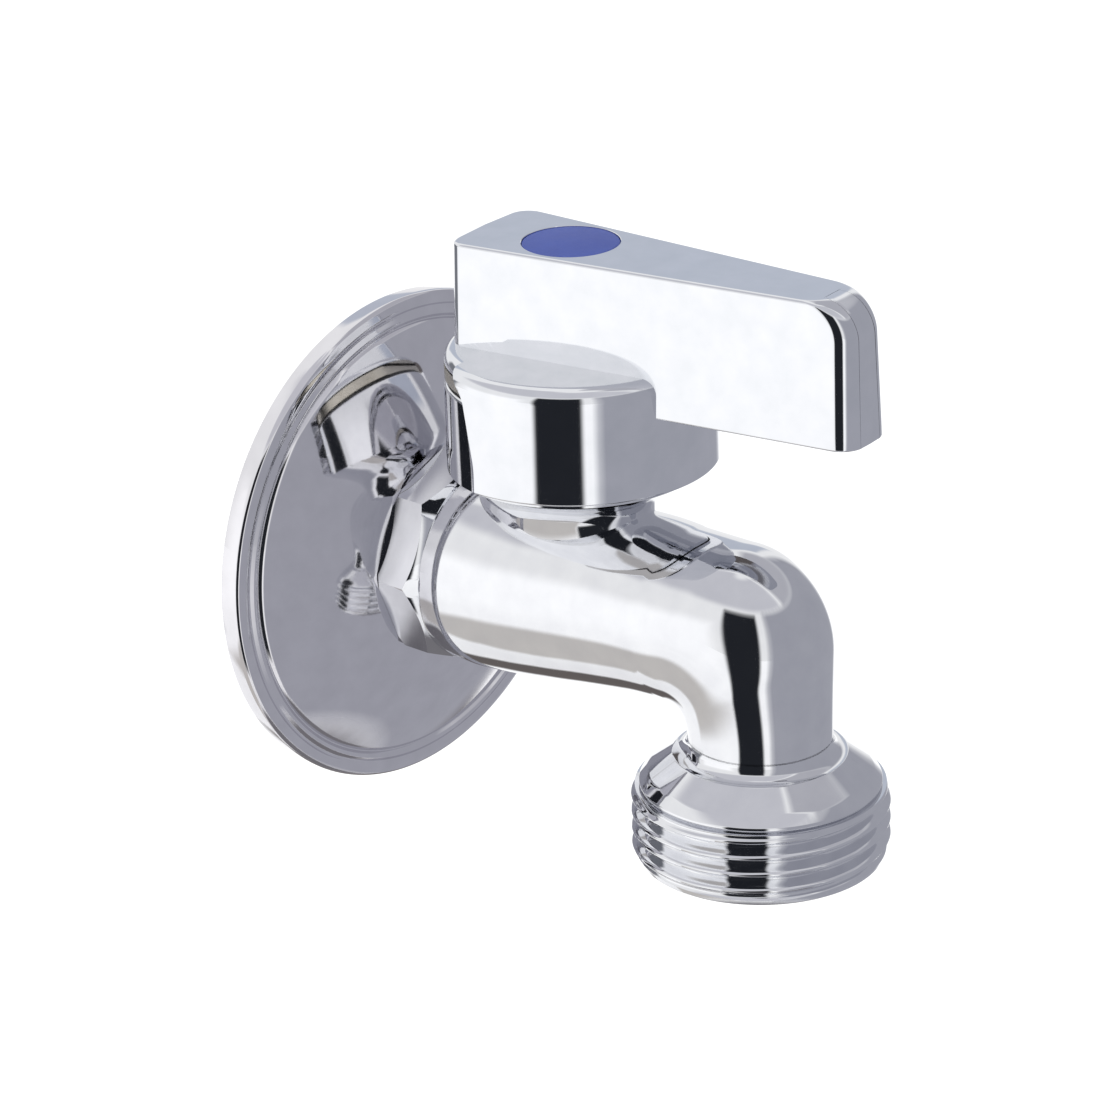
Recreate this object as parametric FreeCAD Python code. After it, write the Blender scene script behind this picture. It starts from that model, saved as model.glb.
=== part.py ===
import FreeCAD, Part
import math
import os

# Wall tap for a washing machine: quarter-turn lever, ceramic-disc headwork, threaded hose outlet.
# Millimetres. The origin lies on the inlet axis in the plane of the wall. +Z is up, +Y goes into the
# wall, and the tap reaches out along -Y.

V = FreeCAD.Vector
UP = V(0, 0, 1)

# Standard pipe threads, drawn as plain cylinders of their outer radius
inlet_thread_radius = 10.4775
outlet_thread_radius = 13.2205

# Fits
running_clearance = 0.05
seat_clearance = 0.02
rubber_clearance = 0.03
thread_clearance = 0.04
loose_clearance = 0.2

# How far a cutting tool stands past the face that it cuts
overcut = 1.0

# Inlet tail, which goes into the wall
tail_reach = 13.0
tail_chamfer = 1.0
tail_relief_radius = 10.2
inlet_bore_radius = 7.5

# Eight-sided spanner collar
collar_back = 7.72
collar_length = 5.56
collar_across_flats = 22.0
collar_back_radius = 11.48
collar_front_radius = 9.9
collar_back_chamfer = 0.5
collar_front_chamfer = 1.78

# Barrel: distance from the wall, radius and height of the centre, at the places where its taper changes
barrel_stations = [
    (12.30, 10.62, -0.35),
    (15.50, 10.74, -0.39),
    (20.70, 10.46, -0.18),
    (25.90, 10.02, 0.10),
    (31.00, 9.62, 0.48),
    (36.40, 9.30, 0.88),
]
barrel_end_radius = 9.06
barrel_end_height = 0.92

# Elbow and outlet tube
outlet_reach = 49.6
tube_radius = 7.4
elbow_inner_radius = 1.75
elbow_outer_radius = 10.0
elbow_steps = 6
oval_points = 12
outlet_bore_radius = 5.2

# Flared shoulder and threaded nozzle, as heights below the inlet axis
flare_top = 10.1
flare_fillet = 1.5
flare_overlap = 0.04
shoulder_radius = 12.5
shoulder_height = 14.7
nozzle_thread_top = 15.6
nozzle_bottom = 22.9
nozzle_chamfer = 0.6
nozzle_mouth_radius = 6.5
nozzle_mouth_depth = 7.6

# Neck that holds the headwork. It flares out of a narrow stem: height from the seat, and how far the
# stem goes to the sides, to the front and to the rear of the spindle's axis
spindle_reach = 25.7
neck_radius = 13.3
stem_stations = [
    (-7.9, 6.2, 9.5, 11.5),
    (-3.4, 7.0, 9.0, 12.0),
    (-1.9, 7.9, 9.0, 12.4),
    (-0.9, 9.2, 9.6, 12.9),
    (0.1, 11.0, 11.0, 13.25),
]
neck_rim = 1.2

# Waterways inside the body
drill_point_angle = 31.0
inlet_passage_radius = 4.4
inlet_passage_height = -3.0
inlet_bore_end = 11.5
seat_hole_radius = 3.6
seat_hole_overrun = 1.5
seat_height = 12.9
chamber_radius = 8.0
outlet_slot_inner = 5.9
outlet_slot_outer = 7.4
outlet_slot_angle = 64.0
outlet_slot_bottom = 1.8
outlet_passage_radius = 4.0
outlet_passage_height = 3.2
outlet_passage_start = 6.6
outlet_passage_overrun = 1.2
outlet_bore_end = 1.5

# Wall flange
flange_radius = 26.9
flange_sheet = 0.6
flange_hole_radius = 10.75
flange_land_radius = 11.7
flange_dome_radius = 48.0
flange_dome_edge = 23.7
flange_ridge_radius = 24.5
flange_groove_radius = 25.2
flange_step_width = 0.3
flange_step_depth = 2.75
flange_groove_depth = 2.35
flange_roll_width = 1.35
flange_roll_depth = 1.2
flange_roll_height = 0.85
flange_rim_lean = 0.2

# Headwork housing
housing_lower_radius = 7.2
housing_flange_radius = 13.2
housing_flange_thickness = 1.5
housing_across_flats = 24.0
housing_flats_angle = 60.0
housing_wall_top = 2.0
gasket_thickness = 0.4
gasket_inner_radius = 10.9
gasket_outer_radius = 13.0
window_angle = 56.0
window_height = 2.4
thread_over_window = 0.7
chamber_under_thread = 0.4
stop_rib_angle = 10.0
stop_rib_depth = 1.3
stop_gap_angle = 0.5

# Discs and seat seal
disc_radius = 6.2
fixed_disc_thickness = 1.7
moving_disc_thickness = 1.8
port_angle = 56.0
port_inner_radius = 1.7
port_outer_radius = 4.1
disc_key_width = 2.4
disc_key_reach = 0.7
seal_thickness = 1.1
seal_inner_radius = 4.4
seal_outer_radius = 5.7
support_ring_wall = 0.75
support_ring_height = 0.8

# Spindle
turn_angle = 90.0
foot_radius = 5.9
foot_thickness = 1.35
foot_core_radius = 3.4
tongue_width = 2.4
tongue_depth = 0.9
tongue_end_gap = 0.5
thrust_washer_thickness = 0.4
seal_barrel_radius = 4.7
o_ring_groove_width = 1.45
o_ring_groove_depth = 1.3
o_ring_groove_wall = 0.4
stem_radius = 4.0
circlip_thickness = 0.8
circlip_radius = 5.3
circlip_groove_depth = 0.4
circlip_opening_angle = 50.0
circlip_gap = 0.15
circlip_pocket_radius = 5.8
serration_count = 20
serration_depth = 0.45
tapped_hole_radius = 2.0
tapped_hole_depth = 8.0

# Lever handle, in its own frame: u runs along the lever, away from the spindle axis
lever_rest_angle = 6.0
lever_gap = 0.27
lever_rise = 10.7
lever_drop = 4.05
lever_rear = 11.0
lever_front_low = 35.3
lever_front_high = 34.8
lever_half_width = 5.9
lever_taper = 0.08
lever_draft = 0.04
lever_rear_corner = 2.0
lever_front_corner = 2.4
lever_rear_bulge = 0.3
lever_rear_flank = 0.12
lever_nose_radius = 4.0
lever_wall = 1.8
lever_pocket_start = 17.0
lever_pocket_lean = 2.5
skirt_radius = 14.84
skirt_drop = 12.13
skirt_wall = 1.29
shelf_thickness = 1.3
shelf_edge = 0.9
cut_out_edge = 2.2
cut_out_corner = 2.5
cut_out_lip = 0.7

# Screw and index cap
web_thickness = 1.4
screw_radius = 2.0
screw_head_radius = 3.5
screw_head_height = 1.8
screw_engagement = 7.0
screw_recess_width = 1.0
screw_recess_reach = 2.1
screw_recess_depth = 1.0
screw_head_gap = 0.48
lock_washer_radius = 3.6
lock_washer_thickness = 0.8
lock_washer_slot = 0.6
cap_radius = 5.02
cap_thickness = 1.2
cap_pocket_clearance = 0.05
cap_skirt_radius = 4.72
cap_skirt_wall = 0.7
cap_skirt_length = 1.7

# Heights of the headwork's stack and of all that stands on it, worked out from the seat upwards
fixed_disc_bottom = seat_height + seal_thickness
fixed_disc_top = fixed_disc_bottom + fixed_disc_thickness
moving_disc_bottom = fixed_disc_top + seat_clearance
moving_disc_top = moving_disc_bottom + moving_disc_thickness
foot_bottom = moving_disc_top + seat_clearance
foot_top = foot_bottom + foot_thickness
thrust_bottom = foot_top + seat_clearance
thrust_top = thrust_bottom + thrust_washer_thickness
housing_shoulder = thrust_top + seat_clearance
housing_bore_top = housing_shoulder + 2 * o_ring_groove_width + 3 * o_ring_groove_wall
housing_top = housing_bore_top + housing_wall_top
housing_flange_bottom = housing_top - housing_flange_thickness
neck_top = housing_flange_bottom - gasket_thickness
window_top = moving_disc_bottom + window_height
housing_thread_bottom = window_top + thread_over_window
chamber_top = housing_thread_bottom - chamber_under_thread
seal_barrel_top = housing_bore_top - seat_clearance
stem_clearance_radius = stem_radius + running_clearance
barrel_bore_radius = seal_barrel_radius + running_clearance
disc_bore_radius = disc_radius + running_clearance
circlip_bottom = housing_top + circlip_gap
circlip_top = circlip_bottom + circlip_thickness

shelf_underside = housing_top + lever_gap
shelf_top = shelf_underside + shelf_thickness
skirt_bottom = shelf_top - skirt_drop
skirt_inner_radius = skirt_radius - skirt_wall
lever_bottom = shelf_top - lever_drop
lever_top = shelf_top + lever_rise
cap_bottom = lever_top - cap_thickness
screw_head_top = cap_bottom - screw_head_gap
screw_head_bottom = screw_head_top - screw_head_height
web_top = screw_head_bottom - lock_washer_thickness
web_bottom = web_top - web_thickness
spindle_top = web_bottom - seat_clearance
circlip_pocket_top = circlip_top + seat_clearance + circlip_gap


def turned(profile, centre=V(0, 0, 0), axis=UP):
    """Solid of revolution from (radius, height) points; a list of three such points is an arc."""
    edges = []
    last = None
    for item in profile + [profile[0]]:
        if isinstance(item, list):
            start, middle, end = (V(r, 0, h) for r, h in item)
            if (start - last).Length > 1e-6:
                edges.append(Part.LineSegment(last, start).toShape())
            edges.append(Part.Arc(start, middle, end).toShape())
            last = end
            continue
        point = V(item[0], 0, item[1])
        if last is not None and (point - last).Length > 1e-6:
            edges.append(Part.LineSegment(last, point).toShape())
        last = point
    face = Part.Face(Part.Wire(edges))
    solid = face.revolve(V(0, 0, 0), UP, 360)
    solid.Placement = FreeCAD.Placement(centre, FreeCAD.Rotation(UP, axis))
    return solid


def ring(inner, outer, bottom, top):
    solid = Part.makeCylinder(outer, top - bottom, V(0, 0, bottom))
    if inner > 0:
        solid = solid.cut(Part.makeCylinder(inner, top - bottom, V(0, 0, bottom)))
    return solid


def drilled(radius, depth, mouth, direction):
    """Round hole with the conical end that a drill leaves."""
    point = radius * math.tan(math.radians(drill_point_angle))
    return turned([(0, 0), (radius, 0), (radius, depth), (0, depth + point)], mouth, direction)


def block(u_from, u_to, half_width, bottom, top):
    return Part.makeBox(u_to - u_from, 2 * half_width, top - bottom, V(u_from, -half_width, bottom))


def sector(inner, outer, bottom, top, middle_angle, width_angle):
    """Piece of a ring between two radii, centred on an angle."""
    height = top - bottom
    wedge = Part.makeCylinder(outer, height, V(0, 0, bottom), UP, width_angle)
    wedge.rotate(V(0, 0, 0), UP, middle_angle - width_angle / 2)
    if inner > 0:
        wedge = wedge.cut(Part.makeCylinder(inner, height, V(0, 0, bottom)))
    return wedge


def to_spindle(shape):
    """From the spindle's own axis to its place on the body, unturned."""
    shape.translate(V(0, -spindle_reach, 0))
    return shape


def to_lever(shape):
    """From the lever's frame, u along +X, to its place and angle on the body."""
    shape.rotate(V(0, 0, 0), UP, lever_rest_angle - 90)
    return to_spindle(shape)


def smooth_oval(centre, direction, half_along, half_across):
    """Closed smooth curve through points of an oval in the plane of direction and X."""
    points = []
    for k in range(oval_points):
        angle = 2 * math.pi * k / oval_points
        along = direction * (half_along * math.cos(angle))
        points.append(centre + along + V(half_across * math.sin(angle), 0, 0))
    curve = Part.BSplineCurve()
    curve.interpolate(Points=points, PeriodicFlag=True)
    return Part.Wire([curve.toShape()])


def elbow_reach(angle, top, width):
    """Distance from the inner corner's centre to the outer line of the elbow, at an angle from +Z."""
    corner_width = width - elbow_outer_radius
    corner_top = top - elbow_outer_radius
    sine, cosine = math.sin(angle), math.cos(angle)
    if cosine > 0 and top * sine <= corner_width * cosine:
        return top / cosine
    if sine > 0 and width * cosine <= corner_top * sine:
        return width / sine
    along = corner_width * sine + corner_top * cosine
    offset = corner_width ** 2 + corner_top ** 2 - elbow_outer_radius ** 2
    return along + math.sqrt(along * along - offset)


def flowing_pipe():
    """Barrel, elbow and tube as one smooth skin of ovals that fan round the inner corner."""
    inner_face = outlet_reach - tube_radius
    pivot_reach = inner_face - elbow_inner_radius
    barrel_underside = barrel_end_height - barrel_end_radius
    pivot_height = barrel_underside - elbow_inner_radius
    top = barrel_end_height + barrel_end_radius - pivot_height
    width = outlet_reach + tube_radius - pivot_reach
    wires = []
    for reach, radius, height in barrel_stations:
        wires.append(smooth_oval(V(0, -reach, height), UP, radius, radius))
    for step in range(elbow_steps + 1):
        turn = step / elbow_steps
        angle = turn * math.pi / 2
        outwards = V(0, -math.sin(angle), math.cos(angle))
        far = elbow_reach(angle, top, width)
        middle = (far + elbow_inner_radius) / 2
        half_along = (far - elbow_inner_radius) / 2
        blend = (1 - math.cos(math.pi * turn)) / 2
        half_across = barrel_end_radius + (tube_radius - barrel_end_radius) * blend
        centre = V(0, -pivot_reach, pivot_height) + outwards * middle
        wires.append(smooth_oval(centre, outwards, half_along, half_across))
    for height in ((pivot_height - flare_top) / 2, -flare_top - flare_fillet):
        wires.append(smooth_oval(V(0, -outlet_reach, height), V(0, -1, 0), tube_radius, tube_radius))
    return Part.makeLoft(wires, True, False)


def collar():
    corner = collar_across_flats / 2 / math.cos(math.pi / 8)
    points = [V(corner * math.cos(k * math.pi / 4), 0, corner * math.sin(k * math.pi / 4)) for k in range(8)]
    prism = Part.Face(Part.makePolygon(points + [points[0]])).extrude(V(0, -collar_length, 0))
    prism.translate(V(0, -collar_back, 0))
    rounding = turned([
        (0, collar_back),
        (collar_back_radius, collar_back),
        (corner, collar_back + collar_back_chamfer),
        (corner, collar_back + collar_length - collar_front_chamfer),
        (collar_front_radius, collar_back + collar_length),
        (0, collar_back + collar_length),
    ], axis=V(0, -1, 0))
    return prism.common(rounding)


def tail():
    return turned([
        (0, -tail_reach),
        (inlet_thread_radius - tail_chamfer, -tail_reach),
        (inlet_thread_radius, tail_chamfer - tail_reach),
        (inlet_thread_radius, 0),
        (tail_relief_radius, 0),
        (tail_relief_radius, collar_back + collar_length / 2),
        (0, collar_back + collar_length / 2),
    ], axis=V(0, -1, 0))


def nozzle():
    """Foot of the tube: hollow flare, sloping shoulder and the threaded end."""
    flare_low = flare_top + flare_fillet
    flare_radius = tube_radius - flare_overlap
    chamfer = flare_fillet * (1 - math.sqrt(0.5))
    return turned([
        (0, -flare_top),
        [(flare_radius, -flare_top),
         (flare_radius + chamfer, -flare_low + chamfer),
         (flare_radius + flare_fillet, -flare_low)],
        (shoulder_radius - 1, -shoulder_height + 1.1),
        (shoulder_radius, -shoulder_height),
        (outlet_thread_radius, -nozzle_thread_top),
        (outlet_thread_radius, nozzle_chamfer - nozzle_bottom),
        (outlet_thread_radius - nozzle_chamfer, -nozzle_bottom),
        (0, -nozzle_bottom),
    ], V(0, -outlet_reach, 0))


def neck():
    """Round neck that flares out of a stem, which is wider to the rear than to the sides."""
    wires = []
    for rise, side, front, rear in stem_stations:
        centre = V(0, -spindle_reach - (front - rear) / 2, seat_height + rise)
        wires.append(smooth_oval(centre, V(0, -1, 0), (front + rear) / 2, side))
    rim = V(0, -spindle_reach, seat_height + neck_rim)
    wires.append(smooth_oval(rim, V(0, -1, 0), neck_radius, neck_radius))
    tower = Part.Face(wires[-1]).extrude(V(0, 0, neck_top - rim.z))
    return tower.fuse(Part.makeLoft(wires, True, False))


def inlet_waterway():
    """Tail bore, the low passage that ends under the seat, and the seat's hole."""
    bore = Part.makeCylinder(
        inlet_bore_radius, tail_reach + inlet_bore_end, V(0, tail_reach, 0), V(0, -1, 0))
    passage = drilled(inlet_passage_radius, spindle_reach, V(0, 0, inlet_passage_height), V(0, -1, 0))
    hole_bottom = inlet_passage_height - seat_hole_overrun
    hole = to_spindle(ring(0, seat_hole_radius, hole_bottom, seat_height))
    return bore.multiFuse([passage, hole])


def outlet_waterway():
    """Chamber round the headwork, slot in front of the seat, passage to the elbow and the outlet bore."""
    chamber = to_spindle(ring(0, chamber_radius, seat_height, chamber_top))
    thread = to_spindle(ring(0, inlet_thread_radius + thread_clearance, chamber_top, neck_top))
    slot = to_spindle(sector(outlet_slot_inner, outlet_slot_outer, outlet_slot_bottom, seat_height,
                             -90, outlet_slot_angle))
    passage_start = spindle_reach + outlet_passage_start
    passage_end = outlet_reach + outlet_passage_overrun
    passage = Part.makeCylinder(outlet_passage_radius, passage_end - passage_start,
                                V(0, -passage_start, outlet_passage_height), V(0, -1, 0))
    bore = drilled(
        outlet_bore_radius, outlet_bore_end + nozzle_bottom, V(0, -outlet_reach, -nozzle_bottom), UP)
    mouth = Part.makeCylinder(nozzle_mouth_radius, nozzle_mouth_depth, V(0, -outlet_reach, -nozzle_bottom))
    return chamber.multiFuse([thread, slot, passage, bore, mouth])


def tap_body():
    outside = flowing_pipe().multiFuse([tail(), collar(), nozzle(), neck()])
    return outside.cut(inlet_waterway()).cut(outlet_waterway()).removeSplitter()


def dome_drop(radius):
    """Fall of the flange's dome from its land, before it is fitted to the step's depth."""
    return math.sqrt(flange_dome_radius ** 2 - flange_land_radius ** 2) - math.sqrt(
        flange_dome_radius ** 2 - radius ** 2)


def wall_flange():
    """Domed cover of thin sheet: flat land round the tail, dome, ridge, groove and rolled rim."""
    front = collar_back - seat_clearance
    scale = (front - flange_step_depth) / dome_drop(flange_dome_edge)
    middle = (flange_land_radius + flange_dome_edge) / 2
    sheet = flange_sheet
    inner_edge = flange_dome_edge - sheet
    inner_groove = flange_groove_depth - sheet
    step_foot = (flange_step_depth + 3 * flange_groove_depth) / 4
    roll_top = flange_roll_depth + flange_roll_height
    rim, inner_rim = flange_radius, flange_radius - sheet

    def dome(radius, lift):
        return front - lift - dome_drop(radius) * scale

    return turned([
        (flange_hole_radius, front),
        [(flange_land_radius, front), (middle, dome(middle, 0)), (flange_dome_edge, flange_step_depth)],
        (flange_dome_edge + flange_step_width, step_foot),
        (flange_ridge_radius, flange_step_depth),
        (flange_groove_radius, flange_groove_depth),
        [(rim - flange_roll_width, roll_top + (flange_step_depth - roll_top) * 0.8),
         (rim - flange_roll_width / 4, roll_top),
         (rim, flange_roll_depth)],
        (rim - flange_rim_lean, 0),
        (inner_rim - flange_rim_lean, 0),
        (inner_rim, flange_roll_depth),
        (flange_groove_radius, inner_groove),
        (flange_dome_edge, inner_groove),
        [(inner_edge, dome(inner_edge, sheet)), (middle, dome(middle, sheet)), (flange_land_radius, front - sheet)],
        (flange_hole_radius, front - sheet),
    ], axis=V(0, -1, 0))


def headwork_housing():
    """Threaded housing with a spanner flange, two water windows and two inner stop ribs."""
    outside = ring(0, housing_lower_radius, fixed_disc_bottom, housing_thread_bottom)
    threaded = ring(0, inlet_thread_radius, housing_thread_bottom, housing_flange_bottom)
    spanner = ring(0, housing_flange_radius, housing_flange_bottom, housing_top)
    flats = block(-housing_flange_radius, housing_flange_radius, housing_across_flats / 2,
                  housing_flange_bottom, housing_top)
    flats.rotate(V(0, 0, 0), UP, housing_flats_angle)
    solid = outside.multiFuse([threaded, spanner.common(flats)])
    solid = solid.cut(ring(0, disc_bore_radius, fixed_disc_bottom, housing_shoulder))
    solid = solid.cut(ring(0, barrel_bore_radius, housing_shoulder, housing_bore_top))
    solid = solid.cut(ring(0, stem_clearance_radius, housing_bore_top, housing_top))
    for side in (0, 180):
        window = sector(disc_bore_radius - overcut, housing_lower_radius + overcut, moving_disc_bottom,
                        window_top, side + 90, window_angle)
        key_slot = sector(disc_bore_radius - overcut, housing_lower_radius + overcut, fixed_disc_bottom,
                          fixed_disc_top, side, key_angle(disc_key_width + 2 * running_clearance))
        rib = sector(disc_bore_radius - stop_rib_depth, housing_lower_radius, foot_bottom,
                     housing_shoulder, side + turn_angle / 2, stop_rib_angle)
        clear_of_washer = ring(0, disc_bore_radius, foot_top, housing_shoulder)
        solid = solid.cut(window).cut(key_slot).fuse(rib.cut(clear_of_washer))
    return to_lever(solid)


def key_angle(width):
    return math.degrees(width / (disc_radius + disc_key_reach))


def housing_gasket():
    return to_spindle(ring(gasket_inner_radius, gasket_outer_radius, neck_top, housing_flange_bottom))


def seat_seal():
    return to_spindle(ring(seal_inner_radius, seal_outer_radius, seat_height, fixed_disc_bottom))


def seal_support_ring():
    outer = seal_inner_radius - rubber_clearance
    middle = seat_height + seal_thickness / 2
    half = support_ring_height / 2
    return to_spindle(ring(outer - support_ring_wall, outer, middle - half, middle + half))


def fixed_ceramic_disc():
    disc = ring(0, disc_radius, fixed_disc_bottom, fixed_disc_top)
    for side in (0, 180):
        key = sector(disc_radius - overcut, disc_radius + disc_key_reach, fixed_disc_bottom, fixed_disc_top,
                     side, key_angle(disc_key_width))
        port = sector(port_inner_radius, port_outer_radius, fixed_disc_bottom, fixed_disc_top,
                      side + 90, port_angle)
        disc = disc.fuse(key).cut(port)
    return to_lever(disc)


def cut_butterfly(solid, core, bottom, top):
    """Two open notches with solid lands between them; a stop rib travels in each notch."""
    notch_angle = turn_angle + stop_rib_angle + 2 * stop_gap_angle
    for side in (90, 270):
        solid = solid.cut(sector(core, disc_radius + overcut, bottom, top, side, notch_angle))
    return solid


def moving_ceramic_disc():
    disc = ring(0, disc_radius - running_clearance, moving_disc_bottom, moving_disc_top)
    disc = cut_butterfly(disc, port_inner_radius, moving_disc_bottom, moving_disc_top)
    slot = block(-disc_radius, disc_radius, tongue_width / 2 + running_clearance,
                 moving_disc_top - tongue_depth - seat_clearance, moving_disc_top)
    return to_lever(disc.cut(slot))


def serrated(radius, bottom, top):
    """Column of triangular teeth round the top of the spindle."""
    points = []
    for k in range(2 * serration_count):
        angle = math.pi * k / serration_count
        reach = radius - (k % 2) * serration_depth
        points.append(V(reach * math.cos(angle), reach * math.sin(angle), bottom))
    return Part.Face(Part.makePolygon(points + [points[0]])).extrude(V(0, 0, top - bottom))


def o_ring_groove_bottoms():
    first = housing_shoulder + o_ring_groove_wall
    return [first, first + o_ring_groove_width + o_ring_groove_wall]


def spindle():
    foot = ring(0, foot_radius, foot_bottom, foot_top)
    foot = cut_butterfly(foot, foot_core_radius, foot_bottom, foot_top)
    tongue_reach = foot_radius - tongue_end_gap
    tongue = block(-tongue_reach, tongue_reach, tongue_width / 2, foot_bottom - tongue_depth, foot_bottom)
    barrel = ring(0, seal_barrel_radius, foot_top, seal_barrel_top)
    stem = ring(0, stem_radius - serration_depth, seal_barrel_top, spindle_top)
    journal = ring(0, stem_radius, seal_barrel_top, circlip_pocket_top)
    teeth = serrated(stem_radius, circlip_pocket_top, spindle_top)
    solid = foot.multiFuse([tongue, barrel, stem, journal, teeth])
    floor = seal_barrel_radius - o_ring_groove_depth
    for bottom in o_ring_groove_bottoms():
        solid = solid.cut(ring(floor, seal_barrel_radius + overcut, bottom, bottom + o_ring_groove_width))
    solid = solid.cut(ring(stem_radius - circlip_groove_depth, stem_radius + overcut,
                           circlip_bottom - seat_clearance, circlip_top + seat_clearance))
    hole = Part.makeCylinder(tapped_hole_radius + thread_clearance, tapped_hole_depth,
                             V(0, 0, spindle_top - tapped_hole_depth))
    return to_lever(solid.cut(hole))


def thrust_washer():
    return to_spindle(ring(barrel_bore_radius, foot_radius, thrust_bottom, thrust_top))


def o_ring(groove_bottom):
    outer = barrel_bore_radius - rubber_clearance
    inner = seal_barrel_radius - o_ring_groove_depth + rubber_clearance
    section = (outer - inner) / 2
    middle = V(0, 0, groove_bottom + o_ring_groove_width / 2)
    return to_spindle(Part.makeTorus((outer + inner) / 2, section, middle, UP))


def spindle_circlip():
    inner = stem_radius - circlip_groove_depth + seat_clearance
    clip = ring(inner, circlip_radius, circlip_bottom, circlip_top)
    opening = sector(0, circlip_radius + overcut, circlip_bottom, circlip_top, 0, circlip_opening_angle)
    return to_lever(clip.cut(opening))


def bar_outline(height):
    """Plan of the lever at a height: tapering sides, round corners, flat front and bowed rear."""
    spread = lever_half_width + lever_draft * (lever_top - height)
    lean = (lever_front_low - lever_front_high) / (lever_top - lever_bottom)
    rear, front = -lever_rear, lever_front_low - lean * (height - lever_bottom)
    rear_half = spread - lever_taper * rear
    front_half = spread - lever_taper * front
    side = V(front - rear, front_half - rear_half, 0).normalize()
    rear_arc = V(rear + lever_rear_bulge, rear_half, height)
    front_arc = V(front, front_half, height)
    rear_side = rear_arc + side * lever_rear_corner
    front_side = front_arc - side * lever_front_corner
    rear_end = V(rear + lever_rear_flank, rear_half - lever_rear_corner, height)
    front_end = V(front, front_half - lever_front_corner, height)

    def mirrored(point):
        return V(point.x, -point.y, point.z)

    def corner(start, end, tip):
        chord_middle = (start + end) * 0.5
        middle = chord_middle + (tip - chord_middle) * (2 - math.sqrt(2))
        return Part.Arc(start, middle, end).toShape()

    edges = [
        Part.LineSegment(rear_side, front_side).toShape(),
        corner(front_side, front_end, front_arc),
        Part.LineSegment(front_end, mirrored(front_end)).toShape(),
        corner(mirrored(front_end), mirrored(front_side), mirrored(front_arc)),
        Part.LineSegment(mirrored(front_side), mirrored(rear_side)).toShape(),
        corner(mirrored(rear_side), mirrored(rear_end), mirrored(rear_arc)),
        Part.Arc(mirrored(rear_end), V(rear, 0, height), rear_end).toShape(),
        corner(rear_end, rear_side, rear_arc),
    ]
    return Part.Wire(edges)


def lever_side_profile():
    """Side view of the bar, with a leaning front and a round nose on top."""
    rear = -lever_rear - overcut
    lean = math.atan2(lever_front_low - lever_front_high, lever_top - lever_bottom)
    low = V(lever_front_low, 0, lever_bottom)
    corner = V(lever_front_high, 0, lever_top)
    tangent = lever_nose_radius * math.tan((math.pi / 2 - lean) / 2)
    front_point = corner + (low - corner).normalize() * tangent
    top_point = corner - V(tangent, 0, 0)
    centre = top_point - V(0, 0, lever_nose_radius)
    middle = centre + (corner - centre).normalize() * lever_nose_radius
    edges = [
        Part.LineSegment(V(rear, 0, lever_bottom), low).toShape(),
        Part.LineSegment(low, front_point).toShape(),
        Part.Arc(front_point, middle, top_point).toShape(),
        Part.LineSegment(top_point, V(rear, 0, lever_top)).toShape(),
        Part.LineSegment(V(rear, 0, lever_top), V(rear, 0, lever_bottom)).toShape(),
    ]
    half = 2 * lever_half_width
    face = Part.Face(Part.Wire(edges))
    face.translate(V(0, -half, 0))
    return face.extrude(V(0, 2 * half, 0))


def lever_pocket():
    """Weight-saving pocket in the underside of the bar, in front of the skirt."""
    top = lever_top - lever_wall
    end = lever_front_high - lever_wall
    start_half = lever_half_width - lever_taper * lever_pocket_start - lever_wall
    end_half = lever_half_width - lever_taper * end - lever_wall

    def plan(far, height):
        points = [V(lever_pocket_start, start_half, height), V(far, end_half, height),
                  V(far, -end_half, height), V(lever_pocket_start, -start_half, height)]
        return Part.makePolygon(points + [points[0]])

    return Part.makeLoft([plan(end, lever_bottom - overcut), plan(end - lever_pocket_lean, top)], True, True)


def skirt_cut_out():
    """Rear gap in the skirt's wall: upright edges with a round corner under the shelf's edge."""
    corner_height = shelf_top - cut_out_lip - cut_out_corner
    centre = V(-cut_out_edge - cut_out_corner, 0, corner_height)
    middle = centre + V(1, 0, 1) * (cut_out_corner * math.sqrt(0.5))
    far = -skirt_radius - overcut
    low, high = skirt_bottom - overcut, shelf_top + overcut
    start = V(-cut_out_edge, 0, low)
    arc_start = V(-cut_out_edge, 0, corner_height)
    arc_end = V(centre.x, 0, corner_height + cut_out_corner)
    lip_end = V(centre.x, 0, high)
    edges = [
        Part.LineSegment(start, arc_start).toShape(),
        Part.Arc(arc_start, middle, arc_end).toShape(),
        Part.LineSegment(arc_end, lip_end).toShape(),
        Part.LineSegment(lip_end, V(far, 0, high)).toShape(),
        Part.LineSegment(V(far, 0, high), V(far, 0, low)).toShape(),
        Part.LineSegment(V(far, 0, low), start).toShape(),
    ]
    half = skirt_radius + overcut
    face = Part.Face(Part.Wire(edges))
    face.translate(V(0, -half, 0))
    prism = face.extrude(V(0, 2 * half, 0))
    return prism.cut(ring(0, skirt_inner_radius, low, high))


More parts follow.
